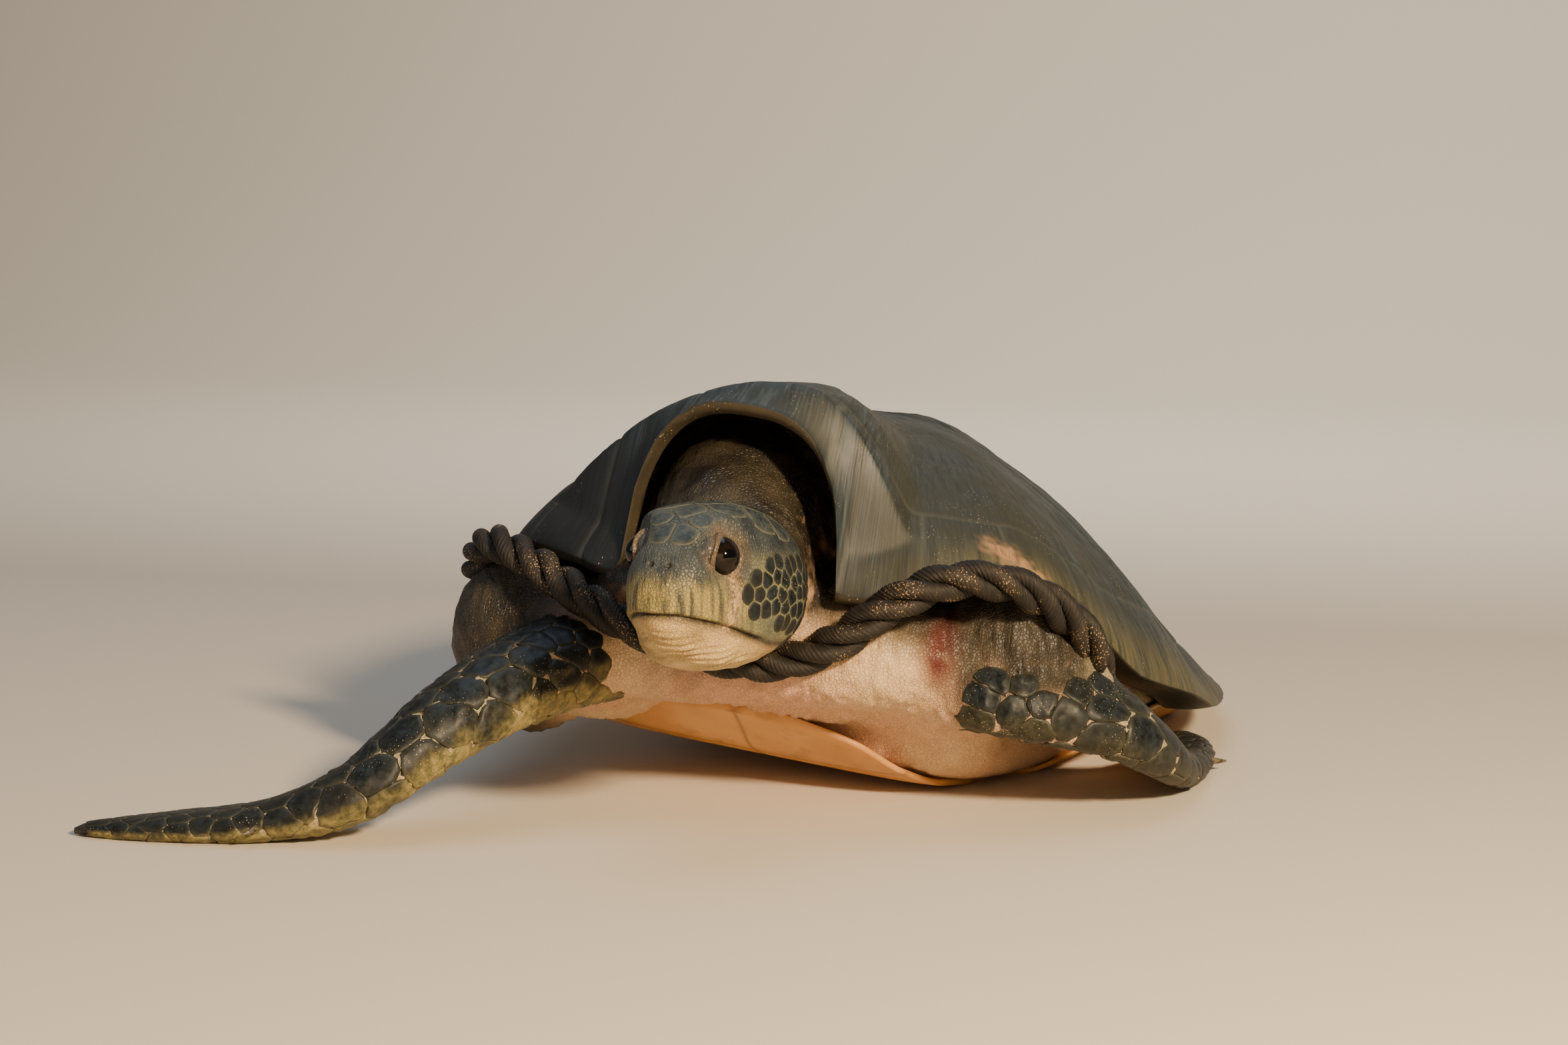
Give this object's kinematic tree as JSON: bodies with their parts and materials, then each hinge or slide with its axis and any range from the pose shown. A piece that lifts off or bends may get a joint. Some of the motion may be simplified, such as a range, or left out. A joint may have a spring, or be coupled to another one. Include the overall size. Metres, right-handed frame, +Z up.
{
  "type": "sea turtle",
  "caption": "Adult green sea turtle at life size, hauled out with head raised, one front flipper spread forward, wearing a thick laid rope as a sling round its front.",
  "frame": {"origin": "on the floor, under the middle of the model's box", "axes": "the turtle heads along -Y, its left side is +X, +Z is up"},
  "size_m": [0.966, 1.3595, 0.4063],
  "materials": {
    "carapace_horn": "dark blue-grey and olive horn, damp and sandy, fine streaks along the scutes",
    "plastron_horn": "smooth cream to orange-tan horn",
    "skin": "dark blue-black to olive scales with cream seams above, cream-pink wrinkled skin below",
    "eye": "wet, near black",
    "claw_horn": "dull brown horn",
    "rope_fibre": "dark wet laid rope of three strands"
  },
  "bodies": {
    "root": {"carapace": "carapace_horn", "plastron": "plastron_horn", "head": "skin", "neck": "skin", "trunk": "skin", "front_flipper_left": "skin", "front_flipper_right": "skin", "hind_flipper_left": "skin", "hind_flipper_right": "skin", "tail": "skin", "eye_left": "eye", "eye_right": "eye", "front_claw_left": "claw_horn", "front_claw_right": "claw_horn", "hind_claw_left": "claw_horn", "hind_claw_right": "claw_horn", "rope": "rope_fibre"}
  },
  "joints": []
}
